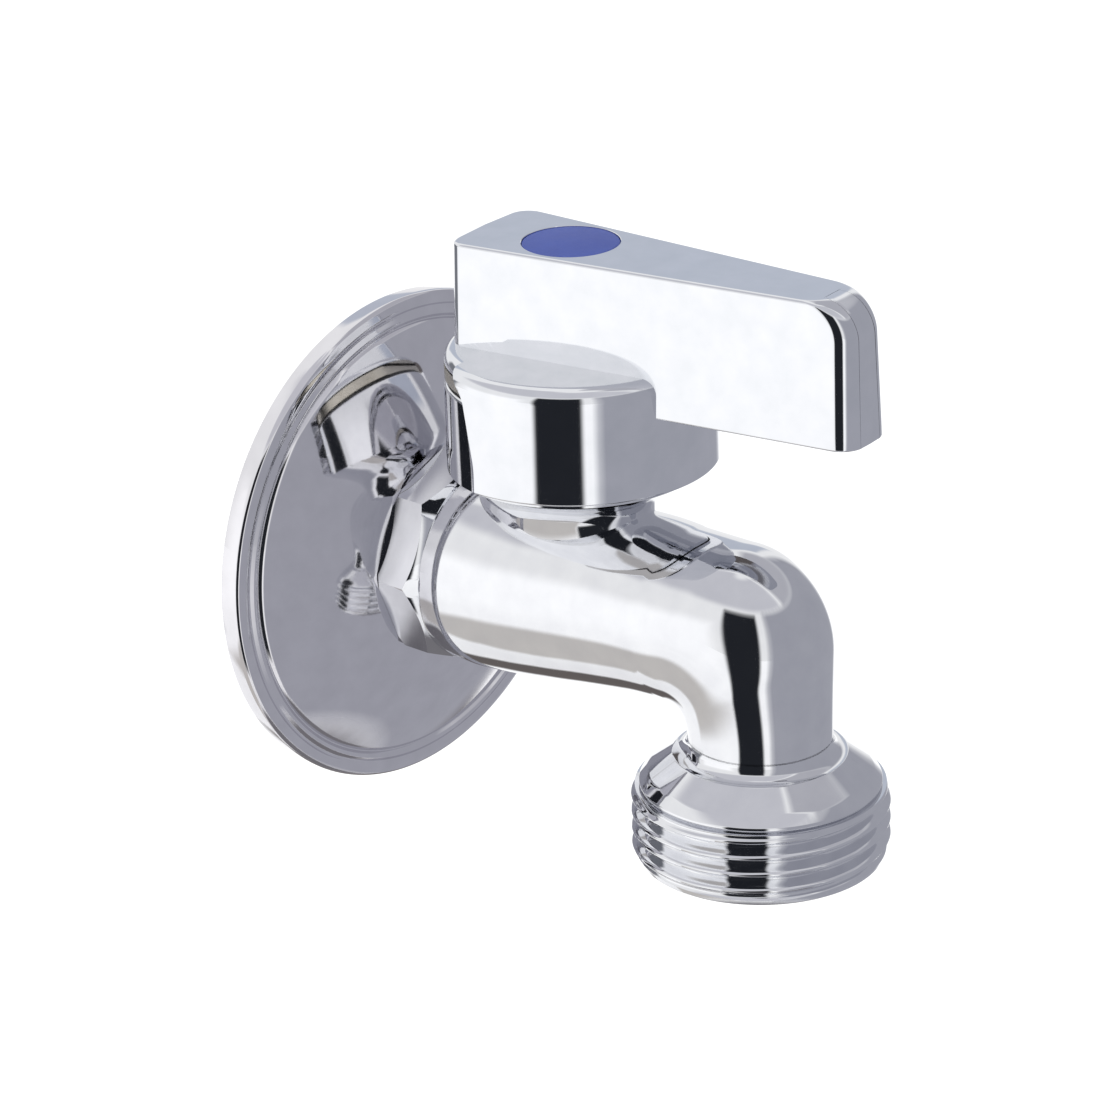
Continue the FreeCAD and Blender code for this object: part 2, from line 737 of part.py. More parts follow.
def handle():
    """Lever: drafted bar, skirt with its rear cut-out, serrated bore, screw web and cap pocket."""
    bar = Part.makeLoft([bar_outline(lever_bottom), bar_outline(lever_top)], True, True)
    bar = bar.common(lever_side_profile())
    edge = shelf_edge * (1 - math.sqrt(0.5))
    skirt = turned([
        (0, skirt_bottom),
        (skirt_radius, skirt_bottom),
        [(skirt_radius, shelf_top - shelf_edge),
         (skirt_radius - edge, shelf_top - edge),
         (skirt_radius - shelf_edge, shelf_top)],
        (0, shelf_top),
    ])
    solid = bar.fuse(skirt.cut(skirt_cut_out()))
    solid = solid.cut(ring(0, skirt_inner_radius, skirt_bottom - overcut, shelf_underside))
    solid = solid.cut(ring(0, circlip_pocket_radius, shelf_underside - overcut, circlip_pocket_top))
    solid = solid.cut(serrated(stem_radius + running_clearance, shelf_underside - overcut, web_bottom))
    solid = solid.cut(ring(0, screw_radius + loose_clearance, web_bottom - overcut, web_top + overcut))
    solid = solid.cut(ring(0, cap_skirt_radius + cap_pocket_clearance, web_top, lever_top + overcut))
    solid = solid.cut(ring(0, cap_radius + cap_pocket_clearance, cap_bottom, lever_top + overcut))
    solid = solid.cut(lever_pocket())
    return to_lever(solid)


def handle_screw():
    solid = ring(0, screw_radius, spindle_top - screw_engagement, screw_head_bottom)
    head = ring(0, screw_head_radius, screw_head_bottom, screw_head_top)
    top_edges = [e for e in head.Edges if abs(e.BoundBox.ZMin - screw_head_top) < 1e-6]
    head = head.makeFillet(screw_head_height / 2, top_edges)
    slot = block(-screw_recess_reach, screw_recess_reach, screw_recess_width / 2,
                 screw_head_top - screw_recess_depth, screw_head_top)
    cross = slot.copy()
    cross.rotate(V(0, 0, 0), UP, 90)
    return to_lever(solid.fuse(head).cut(slot).cut(cross))


def screw_lock_washer():
    washer = ring(screw_radius + loose_clearance, lock_washer_radius, web_top, screw_head_bottom)
    slot = block(0, lock_washer_radius + overcut, lock_washer_slot / 2, web_top, screw_head_bottom)
    return to_lever(washer.cut(slot))


def index_cap():
    """Blue button: flush disc with a short gripping skirt round the screw head."""
    disc = ring(0, cap_radius, cap_bottom + seat_clearance, lever_top)
    inner = cap_skirt_radius - cap_skirt_wall
    grip = ring(inner, cap_skirt_radius, cap_bottom - cap_skirt_length, cap_bottom + seat_clearance)
    return to_lever(disc.fuse(grip))


def main():
    os.makedirs("parts", exist_ok=True)
    lower_groove, upper_groove = o_ring_groove_bottoms()
    parts = {
        "tap_body": tap_body(),
        "wall_flange": wall_flange(),
        "headwork_housing": headwork_housing(),
        "housing_gasket": housing_gasket(),
        "seat_seal": seat_seal(),
        "seal_support_ring": seal_support_ring(),
        "fixed_ceramic_disc": fixed_ceramic_disc(),
        "moving_ceramic_disc": moving_ceramic_disc(),
        "spindle": spindle(),
        "thrust_washer": thrust_washer(),
        "lower_spindle_o_ring": o_ring(lower_groove),
        "upper_spindle_o_ring": o_ring(upper_groove),
        "spindle_circlip": spindle_circlip(),
        "handle": handle(),
        "handle_screw": handle_screw(),
        "screw_lock_washer": screw_lock_washer(),
        "index_cap": index_cap(),
    }
    for name, shape in parts.items():
        solids = len(shape.Solids)
        print(f"{name}: solids {solids}, valid {shape.isValid()}, volume {shape.Volume:.1f}")
        shape.exportStep(f"parts/{name}.step")


main()
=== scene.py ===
import math

import bmesh
import bpy
from mathutils import Matrix, Vector


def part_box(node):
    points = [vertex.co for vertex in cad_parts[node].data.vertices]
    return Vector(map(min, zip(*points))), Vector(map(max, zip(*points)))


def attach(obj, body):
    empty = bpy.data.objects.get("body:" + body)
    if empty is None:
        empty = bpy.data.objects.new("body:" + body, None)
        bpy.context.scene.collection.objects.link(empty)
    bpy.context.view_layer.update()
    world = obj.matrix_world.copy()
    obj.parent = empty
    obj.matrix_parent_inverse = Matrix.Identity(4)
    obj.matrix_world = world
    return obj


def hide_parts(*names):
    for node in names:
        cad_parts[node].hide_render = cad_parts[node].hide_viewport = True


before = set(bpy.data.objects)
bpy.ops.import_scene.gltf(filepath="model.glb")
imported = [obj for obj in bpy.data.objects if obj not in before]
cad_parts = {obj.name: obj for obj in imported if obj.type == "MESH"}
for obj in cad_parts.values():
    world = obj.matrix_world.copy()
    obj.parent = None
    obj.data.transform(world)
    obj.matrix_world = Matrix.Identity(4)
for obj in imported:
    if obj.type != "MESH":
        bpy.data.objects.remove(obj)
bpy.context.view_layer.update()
print("frame loaded:", len(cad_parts), "nodes")

# Lengths are millimetres in the frame's axes: +Y goes into the wall, +Z is up, and the origin lies on
# the inlet's axis in the plane of the wall. They become metres when a mesh is made.
mm = 0.001
around = 192  # steps round a turned surface
onAxis = 0.001  # radius that stands for the axis itself in a turned outline
skim = 0.01  # how far a cutter stands off a face that it must not share
past = 1.0  # how far a cutter reaches beyond what it cuts
weld = 1e-5  # points that lie closer together than this are made one
crease = 35  # degrees that an edge may turn before it is shaded sharp


def frameMillimetres(corner):
    return Vector(corner) / mm


washerLow, washerHigh = (frameMillimetres(corner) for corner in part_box("thrust_washer"))
spindleAxis = (washerLow + washerHigh) / 2
inletReach = frameMillimetres(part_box("tap_body")[1]).y
handleLow, handleHigh = (frameMillimetres(corner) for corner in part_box("handle"))
capLow, capHigh = (frameMillimetres(corner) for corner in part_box("index_cap"))

# from a turned piece's own axis, its local Z, to the frame
outOfWall = Matrix.Rotation(math.radians(90), 4, "X")
onSpindle = Matrix.Translation((spindleAxis.x, spindleAxis.y, 0))


# ---- mesh helpers

def roundedLine(points, closed=False, steps=6):
    # corners given as (x, y, radius) become arcs, corners given as (x, y) stay sharp
    line = []
    last = len(points) - 1
    for index, point in enumerate(points):
        here = Vector(point[:2])
        if len(point) < 3 or (not closed and index in (0, last)):
            line.append(here)
            continue
        before = (Vector(points[index - 1][:2]) - here).normalized()
        after = (Vector(points[(index + 1) % len(points)][:2]) - here).normalized()
        half = before.angle(after) / 2
        centre = here + (before + after).normalized() * (point[2] / math.sin(half))
        start = here + before * (point[2] / math.tan(half)) - centre
        end = here + after * (point[2] / math.tan(half)) - centre
        turn = start.angle_signed(end)
        for step in range(steps + 1):
            angle = -turn * step / steps
            arm = Matrix.Rotation(angle, 2) @ start
            line.append(centre + arm)
    return line


def circle(radius, height, steps=around):
    ring = []
    for step in range(steps):
        angle = 2 * math.pi * step / steps
        ring.append(Vector((radius * math.cos(angle), radius * math.sin(angle), height)))
    return ring


def addSkin(bm, rings, closedEnds=True, place=Matrix()):
    # rings of equally many points, joined by quads; makePiece merges the points that fall together
    rows = [[bm.verts.new(place @ point) for point in ring] for ring in rings]
    for lower, upper in zip(rows, rows[1:]):
        for index in range(len(lower)):
            following = (index + 1) % len(lower)
            bm.faces.new((lower[index], lower[following], upper[following], upper[index]))
    if closedEnds:
        bm.faces.new(list(reversed(rows[0])))
        bm.faces.new(rows[-1])


def addTurned(bm, profile, place=Matrix(), closedEnds=True):
    addSkin(bm, [circle(radius, height) for radius, height in profile], closedEnds, place)


def addObject(name, bm):
    mesh = bpy.data.meshes.new(name)
    bm.to_mesh(mesh)
    bm.free()
    piece = bpy.data.objects.new(name, mesh)
    bpy.context.scene.collection.objects.link(piece)
    return piece


def makePiece(name, bm, sharpAngle=crease):
    bmesh.ops.remove_doubles(bm, verts=bm.verts, dist=weld)
    bmesh.ops.recalc_face_normals(bm, faces=bm.faces)
    bmesh.ops.scale(bm, vec=(mm, mm, mm), verts=bm.verts)
    piece = addObject(name, bm)
    smoothByAngle(piece, sharpAngle)
    return piece


def smoothByAngle(piece, sharpAngle=crease):
    bm = bmesh.new()
    bm.from_mesh(piece.data)
    for face in bm.faces:
        face.smooth = True
    for edge in bm.edges:
        edge.smooth = len(edge.link_faces) == 2 and edge.calc_face_angle(0) < math.radians(sharpAngle)
    bm.to_mesh(piece.data)
    bm.free()


def combine(target, tool, operation):
    # joins or cuts with a closed tool mesh, which is used up
    modifier = target.modifiers.new("cut", "BOOLEAN")
    modifier.operation = operation
    modifier.object = tool
    modifier.solver = "EXACT"
    applyModifiers(target)
    bpy.data.objects.remove(tool)


def applyModifiers(piece):
    graph = bpy.context.evaluated_depsgraph_get()
    graph.update()
    made = bpy.data.meshes.new_from_object(piece.evaluated_get(graph))
    piece.modifiers.clear()
    piece.data = made
    made.name = piece.name


def softenEdges(piece, width, sharpAngle, segments=3):
    modifier = piece.modifiers.new("worn edges", "BEVEL")
    modifier.width = width * mm
    modifier.segments = segments
    modifier.limit_method = "ANGLE"
    modifier.angle_limit = math.radians(sharpAngle)
    modifier.harden_normals = False
    applyModifiers(piece)


def weightNormals(piece):
    modifier = piece.modifiers.new("flat faces stay flat", "WEIGHTED_NORMAL")
    modifier.keep_sharp = True
    modifier.weight = 100  # 50 is neutral, and above it the large faces decide


# ---- the tap's cast body

bodyShape = {
    "stations": [  # barrel: reach from the wall, radius, height of its centre
        (12.30, 10.62, -0.35),
        (15.50, 10.74, -0.39),
        (20.70, 10.46, -0.18),
        (25.90, 10.02, 0.10),
        (31.00, 9.62, 0.48),
        (36.40, 9.30, 0.88),
    ],
    "stationSteps": 10,
    "barrelEndRadius": 9.06,
    "barrelEndHeight": 0.92,
    "outletReach": 49.6,
    "tubeRadius": 7.4,
    "elbowInner": 1.75,
    "elbowOuter": 10.0,
    "elbowSteps": 60,
    "flareTop": -10.1,
}


def throughPoints(points, index, share):
    # smooth curve through a row of points whose first values rise, at a share of the way from one to the next
    before = points[max(index - 1, 0)]
    here, there = points[index], points[index + 1]
    after = points[min(index + 2, len(points) - 1)]
    span = there[0] - here[0]
    result = []
    for p0, p1, p2, p3 in zip(before, here, there, after):
        slope1 = (p2 - p0) / (there[0] - before[0]) * span
        slope2 = (p3 - p1) / (after[0] - here[0]) * span
        result.append(p1 * (2 * share**3 - 3 * share**2 + 1) + slope1 * (share**3 - 2 * share**2 + share)
                      + p2 * (3 * share**2 - 2 * share**3) + slope2 * (share**3 - share**2))
    return result


def oval(centre, direction, halfAlong, halfAcross):
    ring = []
    for step in range(around):
        angle = 2 * math.pi * step / around
        sideways = Vector((halfAcross * math.sin(angle), 0, 0))
        ring.append(centre + direction * (halfAlong * math.cos(angle)) + sideways)
    return ring


def elbowReach(angle, top, width, outer):
    # from the inner corner's centre to the elbow's outer line, at an angle from straight up
    sine, cosine = math.sin(angle), math.cos(angle)
    if cosine > 0 and top * sine <= (width - outer) * cosine:
        return top / cosine
    if sine > 0 and width * cosine <= (top - outer) * sine:
        return width / sine
    along = (width - outer) * sine + (top - outer) * cosine
    offset = (width - outer) ** 2 + (top - outer) ** 2 - outer**2
    return along + math.sqrt(along * along - offset)


def pipeRings(shape):
    rings = []
    endRadius, endHeight = shape["barrelEndRadius"], shape["barrelEndHeight"]
    tube, inner = shape["tubeRadius"], shape["elbowInner"]
    pivotReach = shape["outletReach"] - tube - inner
    pivotHeight = endHeight - endRadius - inner
    stations = shape["stations"] + [(pivotReach, endRadius, endHeight)]
    for index in range(len(stations) - 1):
        for step in range(shape["stationSteps"]):
            reach, radius, height = throughPoints(stations, index, step / shape["stationSteps"])
            rings.append(oval(Vector((0, -reach, height)), Vector((0, 0, 1)), radius, radius))
    top = endHeight + endRadius - pivotHeight
    width = shape["outletReach"] + tube - pivotReach
    for step in range(shape["elbowSteps"] + 1):
        turn = step / shape["elbowSteps"]
        angle = turn * math.pi / 2
        outwards = Vector((0, -math.sin(angle), math.cos(angle)))
        far = elbowReach(angle, top, width, shape["elbowOuter"])
        blend = (1 - math.cos(math.pi * turn)) / 2
        halfAcross = endRadius + (tube - endRadius) * blend
        centre = Vector((0, -pivotReach, pivotHeight)) + outwards * ((far + inner) / 2)
        rings.append(oval(centre, outwards, (far - inner) / 2, halfAcross))
    rings.append(oval(Vector((0, -shape["outletReach"], shape["flareTop"])), Vector((0, -1, 0)), tube, tube))
    return rings


collarShape = {
    "flats": 8,
    "acrossFlats": 22.0,
    "back": 7.72,
    "front": 12.75,
    "backRadius": 11.48,
    "frontRadius": 10.5,
    "backChamfer": 0.5,
    "frontChamfer": 1.25,
    "edge": 0.22,
    "sharpAngle": 20,
}


def makeCollar(shape):
    # flats for a spanner, with both ends turned down to a cone
    corner = shape["acrossFlats"] / 2 / math.cos(math.pi / shape["flats"])
    bm = bmesh.new()
    rings = [circle(corner, height, shape["flats"]) for height in (shape["back"], shape["front"])]
    addSkin(bm, rings, place=outOfWall)
    collar = makePiece("collar", bm)
    bm = bmesh.new()
    addTurned(bm, [
        (shape["backRadius"], shape["back"] - skim),
        (corner + skim, shape["back"] + shape["backChamfer"]),
        (corner + skim, shape["front"] - shape["frontChamfer"]),
        (shape["frontRadius"], shape["front"] + skim),
    ], outOfWall)
    combine(collar, makePiece("turned ends", bm), "INTERSECT")
    softenEdges(collar, shape["edge"], shape["sharpAngle"])
    return collar


threadShape = {  # the same form at both ends, on two diameters
    "depth": 1.16,
    "pitch": 1.814,
    "rowsPerTurn": 16,
    "runOut": 0.45,  # pitches over which the thread fades at its ends
    "runOutCut": 0.35,  # share of its depth that is left to cut there
}


def threadRings(shape, outer, start, end, crest):
    # one ring per small step along the axis; the crest climbs round it by one pitch a turn
    rings = []
    depth, pitch = shape["depth"], shape["pitch"]
    rows = round(abs(end - start) / pitch * shape["rowsPerTurn"])
    for row in range(rows + 1):
        height = start + (end - start) * row / rows
        fromEnd = min(abs(height - start), abs(end - height))
        fade = min(1, fromEnd / (shape["runOut"] * pitch))
        ring = []
        for step in range(around):
            angle = 2 * math.pi * step / around
            phase = 2 * math.pi * (height - crest) / pitch - angle
            wave = 0.5 + 0.5 * math.cos(phase)
            cut = depth * (1 - wave) * fade + depth * shape["runOutCut"] * (1 - fade)
            radius = outer - cut
            ring.append(Vector((radius * math.cos(angle), radius * math.sin(angle), height)))
        rings.append(ring)
    return rings


nozzleShape = {
    "shoulder": [(7.4, -9.9), (7.4, -11.6, 1.5), (8.9, -11.65, 0.4), (11.5, -13.6, 2.0), (12.55, -14.8, 0.35),
                 (12.1, -15.15)],
    "threadRadius": 13.2205,
    "crestHeight": -16.8,
    "threadFrom": -15.15,
    "threadTo": -22.3,
    "bottom": -22.9,
    "bottomRadius": 12.62,
    "mouthRadius": 6.5,
    "mouthTop": -15.3,
    "boreRadius": 5.2,
    "boreTop": 1.5,
    "edge": 0.2,
    "mouthEdge": 0.3,
}


def nozzleRings(shape):
    rings = [circle(radius, height) for radius, height in roundedLine(shape["shoulder"], steps=10)]
    rings += threadRings(threadShape, shape["threadRadius"], shape["threadFrom"], shape["threadTo"],
                         shape["crestHeight"])
    edge = shape["edge"]
    for radius, height in roundedLine([
        (shape["bottomRadius"] + edge, shape["threadTo"]),
        (shape["bottomRadius"], shape["bottom"], edge),
        (shape["mouthRadius"], shape["bottom"], shape["mouthEdge"]),
        (shape["mouthRadius"], shape["mouthTop"], edge),
        (shape["boreRadius"], shape["mouthTop"], edge),
        (shape["boreRadius"], shape["boreTop"]),
    ]):
        rings.append(circle(radius, height))
    return rings


tailShape = {
    "threadRadius": 10.4775,
    "reliefRadius": 10.2,
    "reliefFrom": 0.1,
    "reliefTo": 9.0,
    "boreRadius": 7.5,
    "boreEnd": 11.5,
    "chamfer": 1.0,
    "chamferStart": 0.6,
    "edge": 0.2,
    "boreEdge": 0.3,
}


def tailRings(shape, reach):
    # heights run out of the wall, so the tail's free end is at minus its reach
    rings = [circle(shape["reliefRadius"], height) for height in (shape["reliefTo"], shape["reliefFrom"])]
    rings += threadRings(threadShape, shape["threadRadius"], 0.0, shape["chamfer"] - reach, 0.0)
    for radius, height in roundedLine([
        (shape["threadRadius"] - shape["chamferStart"], shape["chamfer"] - reach),
        (shape["threadRadius"] - shape["chamfer"], -reach, shape["edge"]),
        (shape["boreRadius"], -reach, shape["boreEdge"]),
        (shape["boreRadius"], shape["boreEnd"]),
    ]):
        rings.append(circle(radius, height))
    return rings


neckShape = {
    "stations": [  # stem below the neck: height, then how far it goes sideways, forwards and to the rear
        (5.0, 6.2, 9.5, 11.5),
        (9.5, 7.0, 9.0, 12.0),
        (11.0, 7.9, 9.0, 12.4),
        (12.0, 9.2, 9.6, 12.9),
        (13.0, 11.0, 11.0, 13.25),
        (14.1, 13.3, 13.3, 13.3),
    ],
    "stationSteps": 8,
    "radius": 13.3,
    "top": 23.5,
    "edge": 0.4,
    "boreRadius": 10.52,
    "boreEdge": 0.2,
    "boreBottom": 21.0,
}


def neckRings(shape):
    # round neck that flares out of a stem, which is wider to the rear than to the sides
    rings = []
    stations = shape["stations"]
    for index in range(len(stations) - 1):
        for step in range(shape["stationSteps"]):
            height, side, front, rear = throughPoints(stations, index, step / shape["stationSteps"])
            centre = Vector((0, spindleAxis.y - (front - rear) / 2, height))
            rings.append(oval(centre, Vector((0, -1, 0)), (front + rear) / 2, side))
    for radius, height in roundedLine([
        (shape["radius"], stations[-1][0]),
        (shape["radius"], shape["top"], shape["edge"]),
        (shape["boreRadius"], shape["top"], shape["boreEdge"]),
        (shape["boreRadius"], shape["boreBottom"]),
    ]):
        rings.append(oval(Vector((0, spindleAxis.y, height)), Vector((0, -1, 0)), radius, radius))
    return rings


def makeTapBody():
    # skins that run through one another; the collar is cut to shape first, so it is made apart and added
    bm = bmesh.new()
    addSkin(bm, pipeRings(bodyShape), closedEnds=False)
    addSkin(bm, nozzleRings(nozzleShape), place=Matrix.Translation((0, -bodyShape["outletReach"], 0)))
    addSkin(bm, tailRings(tailShape, inletReach), place=outOfWall)
    addSkin(bm, neckRings(neckShape))
    body = makePiece("tapBody", bm)
    collar = makeCollar(collarShape)
    bm = bmesh.new()
    bm.from_mesh(body.data)
    bm.from_mesh(collar.data)
    bm.to_mesh(body.data)
    bm.free()
    bpy.data.objects.remove(collar)
    smoothByAngle(body)
    weightNormals(body)
    return body


# ---- the flange on the wall

flangeShape = {
    "holeRadius": 10.75,
    "landRadius": 11.7,
    "front": 7.70,
    "domeRadius": 48.0,
    "domeEdge": 23.7,
    "edgeDepth": 2.75,
    "stepWidth": 0.25,
    "stepRoll": 0.12,
    "ridgeRadius": 24.5,
    "ridgeRise": 0.15,
    "ridgeRoll": 0.35,
    "grooveRadius": 25.2,
    "grooveDepth": 2.35,
    "grooveRoll": 0.25,
    "shoulderStep": 0.5,
    "shoulderRoll": 0.45,
    "rimRadius": 26.9,
    "rimDepth": 2.25,
    "rimRoll": 0.75,
    "rimTaper": 0.15,
    "rimInside": 1.2,
    "cutEdge": 0.05,
    "sheet": 0.6,
    "domeSteps": 40,
    "sharpAngle": 40,
}


def domeLine(shape, lift):
    # arc from the land round the tail to the dome's edge
    def drop(radius):
        return math.sqrt(shape["domeRadius"]**2 - shape["landRadius"]**2) - math.sqrt(
            shape["domeRadius"]**2 - radius**2)

    scale = (shape["front"] - shape["edgeDepth"]) / drop(shape["domeEdge"])
    line = []
    for step in range(shape["domeSteps"] + 1):
        radius = shape["landRadius"] + (shape["domeEdge"] - shape["landRadius"]) * step / shape["domeSteps"]
        line.append((radius, shape["front"] - drop(radius) * scale - lift))
    return line


def makeWallFlange(shape):
    sheet, rim = shape["sheet"], shape["rimRadius"]
    outside = [(shape["holeRadius"], shape["front"])] + domeLine(shape, 0)
    edge = roundedLine([
        outside[-1],
        (shape["domeEdge"] + shape["stepWidth"], shape["grooveDepth"], shape["stepRoll"]),
        (shape["ridgeRadius"], shape["edgeDepth"] + shape["ridgeRise"], shape["ridgeRoll"]),
        (shape["grooveRadius"], shape["grooveDepth"], shape["grooveRoll"]),
        (shape["grooveRadius"] + shape["shoulderStep"], shape["edgeDepth"], shape["shoulderRoll"]),
        (rim, shape["rimDepth"], shape["rimRoll"]),
        (rim - shape["rimTaper"], 0.0, shape["cutEdge"]),
        (rim - shape["rimTaper"] - sheet, 0.0, shape["cutEdge"]),
        (rim - sheet, shape["rimInside"]),
        (shape["grooveRadius"], shape["grooveDepth"] - sheet),
        (shape["domeEdge"] - sheet / 2, shape["grooveDepth"] - sheet),
    ], steps=8)
    inside = list(reversed(domeLine(shape, sheet)))[1:] + [(shape["holeRadius"], shape["front"] - sheet)]
    bm = bmesh.new()
    profile = outside + edge[1:] + inside + [outside[0]]
    addTurned(bm, profile, outOfWall, closedEnds=False)
    return makePiece("wallFlange", bm, shape["sharpAngle"])


# ---- the lever handle, in its own frame: local X runs along the lever, away from the spindle

leverShape = {
    "restAngle": 6.0,
    "rear": 11.0,
    "rearBow": 0.3,
    "frontLow": 35.3,
    "frontHigh": 34.8,
    "halfWidth": 5.9,
    "taper": 0.08,
    "draft": 0.04,
    "rearCorner": 2.0,
    "frontCorner": 2.4,
    "frontBow": 0.25,
    "noseRadius": 4.0,
    "topEdge": 0.4,
    "bottomEdge": 0.25,
    "bottom": 22.95,
    "skirtRadius": 14.84,
    "skirtInner": 13.42,
    "shelfTop": 27.0,
    "shelfUnderside": 25.7,
    "skirtTaper": 0.2,
    "shelfEdge": 1.6,
    "cutOutLine": [(-2.2, 13.5), (-2.2, 17.6, 9.0), (-3.7, 24.7, 3.0), (-7.2, 28.2)],
    "cutOutInner": 13.25,
    "cutOutShoulder": 1.3,
    "circlipPocketRadius": 5.8,
    "circlipPocketTop": 26.52,
    "boreRadius": 4.02,
    "webBottom": 32.02,
    "webTop": 33.42,
    "screwHole": 2.2,
    "capPocketRadius": 5.03,
    "capPocketBottom": 36.5,
    "capPocketEdge": 0.05,
    "capSkirtPocket": 4.77,
    "pocketEdge": 0.3,
    "edgeSteps": 4,
    "sideSteps": 8,
    "noseSteps": 45,
    "sharpAngle": 30,
}
onLever = onSpindle @ Matrix.Rotation(math.radians(leverShape["restAngle"] - 90), 4, "Z")


def barRing(shape, height, front, inset):
    spread = shape["halfWidth"] + shape["draft"] * (handleHigh.z - height) - inset
    rear = -shape["rear"] + inset
    rearHalf = spread - shape["taper"] * rear
    frontHalf = spread - shape["taper"] * front
    quarterBow = shape["frontBow"] / 4  # how far a shallow arc has fallen back half-way to its end
    outline = roundedLine([
        (rear, 0),
        (rear + shape["rearBow"], -rearHalf, shape["rearCorner"]),
        (front - shape["frontBow"], -frontHalf, shape["frontCorner"]),
        (front - quarterBow, -frontHalf / 2),
        (front, 0),
        (front - quarterBow, frontHalf / 2),
        (front - shape["frontBow"], frontHalf, shape["frontCorner"]),
        (rear + shape["rearBow"], rearHalf, shape["rearCorner"]),
    ], closed=True, steps=10)
    return [Vector((point.x, point.y, height)) for point in outline]


def barRings(shape):
    top, bottom, nose = handleHigh.z, shape["bottom"], shape["noseRadius"]
    lean = (shape["frontLow"] - shape["frontHigh"]) / (top - bottom)
    edge = shape["bottomEdge"]
    rings = []
    for step in range(shape["edgeSteps"] + 1):
        angle = math.radians(90) * step / shape["edgeSteps"]
        inset = edge * (1 - math.sin(angle))
        rings.append(barRing(shape, bottom + edge * (1 - math.cos(angle)), shape["frontLow"] - inset, inset))
    for step in range(1, shape["sideSteps"] + 1):
        height = bottom + edge + (top - nose - bottom - edge) * step / shape["sideSteps"]
        rings.append(barRing(shape, height, shape["frontLow"] - lean * (height - bottom), 0))
    noseBack = shape["frontHigh"] + lean * nose - nose
    for step in range(1, shape["noseSteps"] + 1):
        angle = math.radians(90) * step / shape["noseSteps"]
        height = top - nose * (1 - math.sin(angle))
        below = max(0, height - (top - shape["topEdge"]))
        inset = shape["topEdge"] - math.sqrt(shape["topEdge"]**2 - below**2) if below else 0
        rings.append(barRing(shape, height, noseBack + nose * math.cos(angle), inset))
    return rings


def makeCutOut(shape):
    # the gap at the skirt's rear: its edge swings back towards the bar on its way up, and a core with a
    # round shoulder stays under the bar
    far = -shape["skirtRadius"] - 2 * past
    outline = roundedLine(shape["cutOutLine"], steps=12)
    outline += [Vector((far, outline[-1].y)), Vector((far, outline[0].y))]
    bm = bmesh.new()
    half = shape["skirtRadius"] + 2 * past
    addSkin(bm, [[Vector((point.x, side, point.y)) for point in outline] for side in (-half, half)])
    gap = makePiece("gap", bm)
    bm = bmesh.new()
    core = roundedLine([
        (shape["cutOutInner"], handleLow.z - 2 * past),
        (shape["cutOutInner"], shape["shelfTop"] + skim, shape["cutOutShoulder"]),
        (onAxis, shape["shelfTop"] + skim),
    ], steps=10)
    addTurned(bm, core)
    combine(gap, makePiece("core", bm), "DIFFERENCE")
    return gap


def makeHandle(shape):
    bm = bmesh.new()
    addSkin(bm, barRings(shape))
    bar = makePiece("handleBar", bm)
    bm = bmesh.new()
    skirtLine = roundedLine([
        (onAxis, handleLow.z),
        (shape["skirtRadius"], handleLow.z, shape["bottomEdge"]),
        (shape["skirtRadius"] - shape["skirtTaper"], shape["shelfTop"], shape["shelfEdge"]),
        (onAxis, shape["shelfTop"]),
    ], steps=10)
    addTurned(bm, skirtLine)
    skirt = makePiece("handleSkirt", bm)
    combine(skirt, makeCutOut(shape), "DIFFERENCE")
    combine(bar, skirt, "UNION")
    bm = bmesh.new()
    pocket = roundedLine([
        (onAxis, handleLow.z - past),
        (shape["skirtInner"], handleLow.z - past),
        (shape["skirtInner"], shape["shelfUnderside"], shape["pocketEdge"]),
        (shape["circlipPocketRadius"], shape["shelfUnderside"]),
        (shape["circlipPocketRadius"], shape["circlipPocketTop"]),
        (shape["boreRadius"], shape["circlipPocketTop"]),
        (shape["boreRadius"], shape["webBottom"]),
        (shape["screwHole"], shape["webBottom"]),
        (shape["screwHole"], shape["webTop"]),
        (shape["capSkirtPocket"], shape["webTop"]),
        (shape["capSkirtPocket"], shape["capPocketBottom"]),
        (shape["capPocketRadius"], shape["capPocketBottom"]),
        (shape["capPocketRadius"], handleHigh.z - shape["capPocketEdge"]),
        (shape["capPocketRadius"] + shape["capPocketEdge"], handleHigh.z),
        (shape["capPocketRadius"] + shape["capPocketEdge"], handleHigh.z + past),
        (onAxis, handleHigh.z + past),
    ])
    addTurned(bm, pocket)
    combine(bar, makePiece("bores", bm), "DIFFERENCE")
    bar.data.transform(Matrix.Translation(onLever.translation * mm) @ onLever.to_3x3().to_4x4())
    smoothByAngle(bar, shape["sharpAngle"])
    weightNormals(bar)
    bar.name = "leverHandle"
    return bar


# ---- the blue index cap

capShape = {"edge": 0.25, "crown": 0.05, "depth": 1.0}


def makeIndexCap(shape):
    radius = (capHigh.x - capLow.x) / 2
    bm = bmesh.new()
    line = roundedLine([
        (onAxis, capHigh.z - shape["depth"]),
        (radius, capHigh.z - shape["depth"]),
        (radius, capHigh.z - shape["crown"], shape["edge"]),
        (onAxis, capHigh.z),
    ])
    addTurned(bm, line, onSpindle)
    return makePiece("indexCap", bm)


# ---- materials

def linear(hexColour):
    # a web colour's parts, taken out of the sRGB curve
    parts = [int(hexColour[place:place + 2], 16) / 255 for place in (1, 3, 5)]
    return [part / 12.92 if part <= 0.04045 else ((part + 0.055) / 1.055)**2.4 for part in parts] + [1.0]


def addNode(tree, kind, settings=None, links=None):
    # a setting goes to the input of its name or number, or else to the node itself
    node = tree.nodes.new(kind)
    for name, value in (settings or {}).items():
        if isinstance(name, int) or name in node.inputs:
            node.inputs[name].default_value = value
        else:
            setattr(node, name, value)
    for name, socket in (links or {}).items():
        tree.links.new(socket, node.inputs[name])
    return node


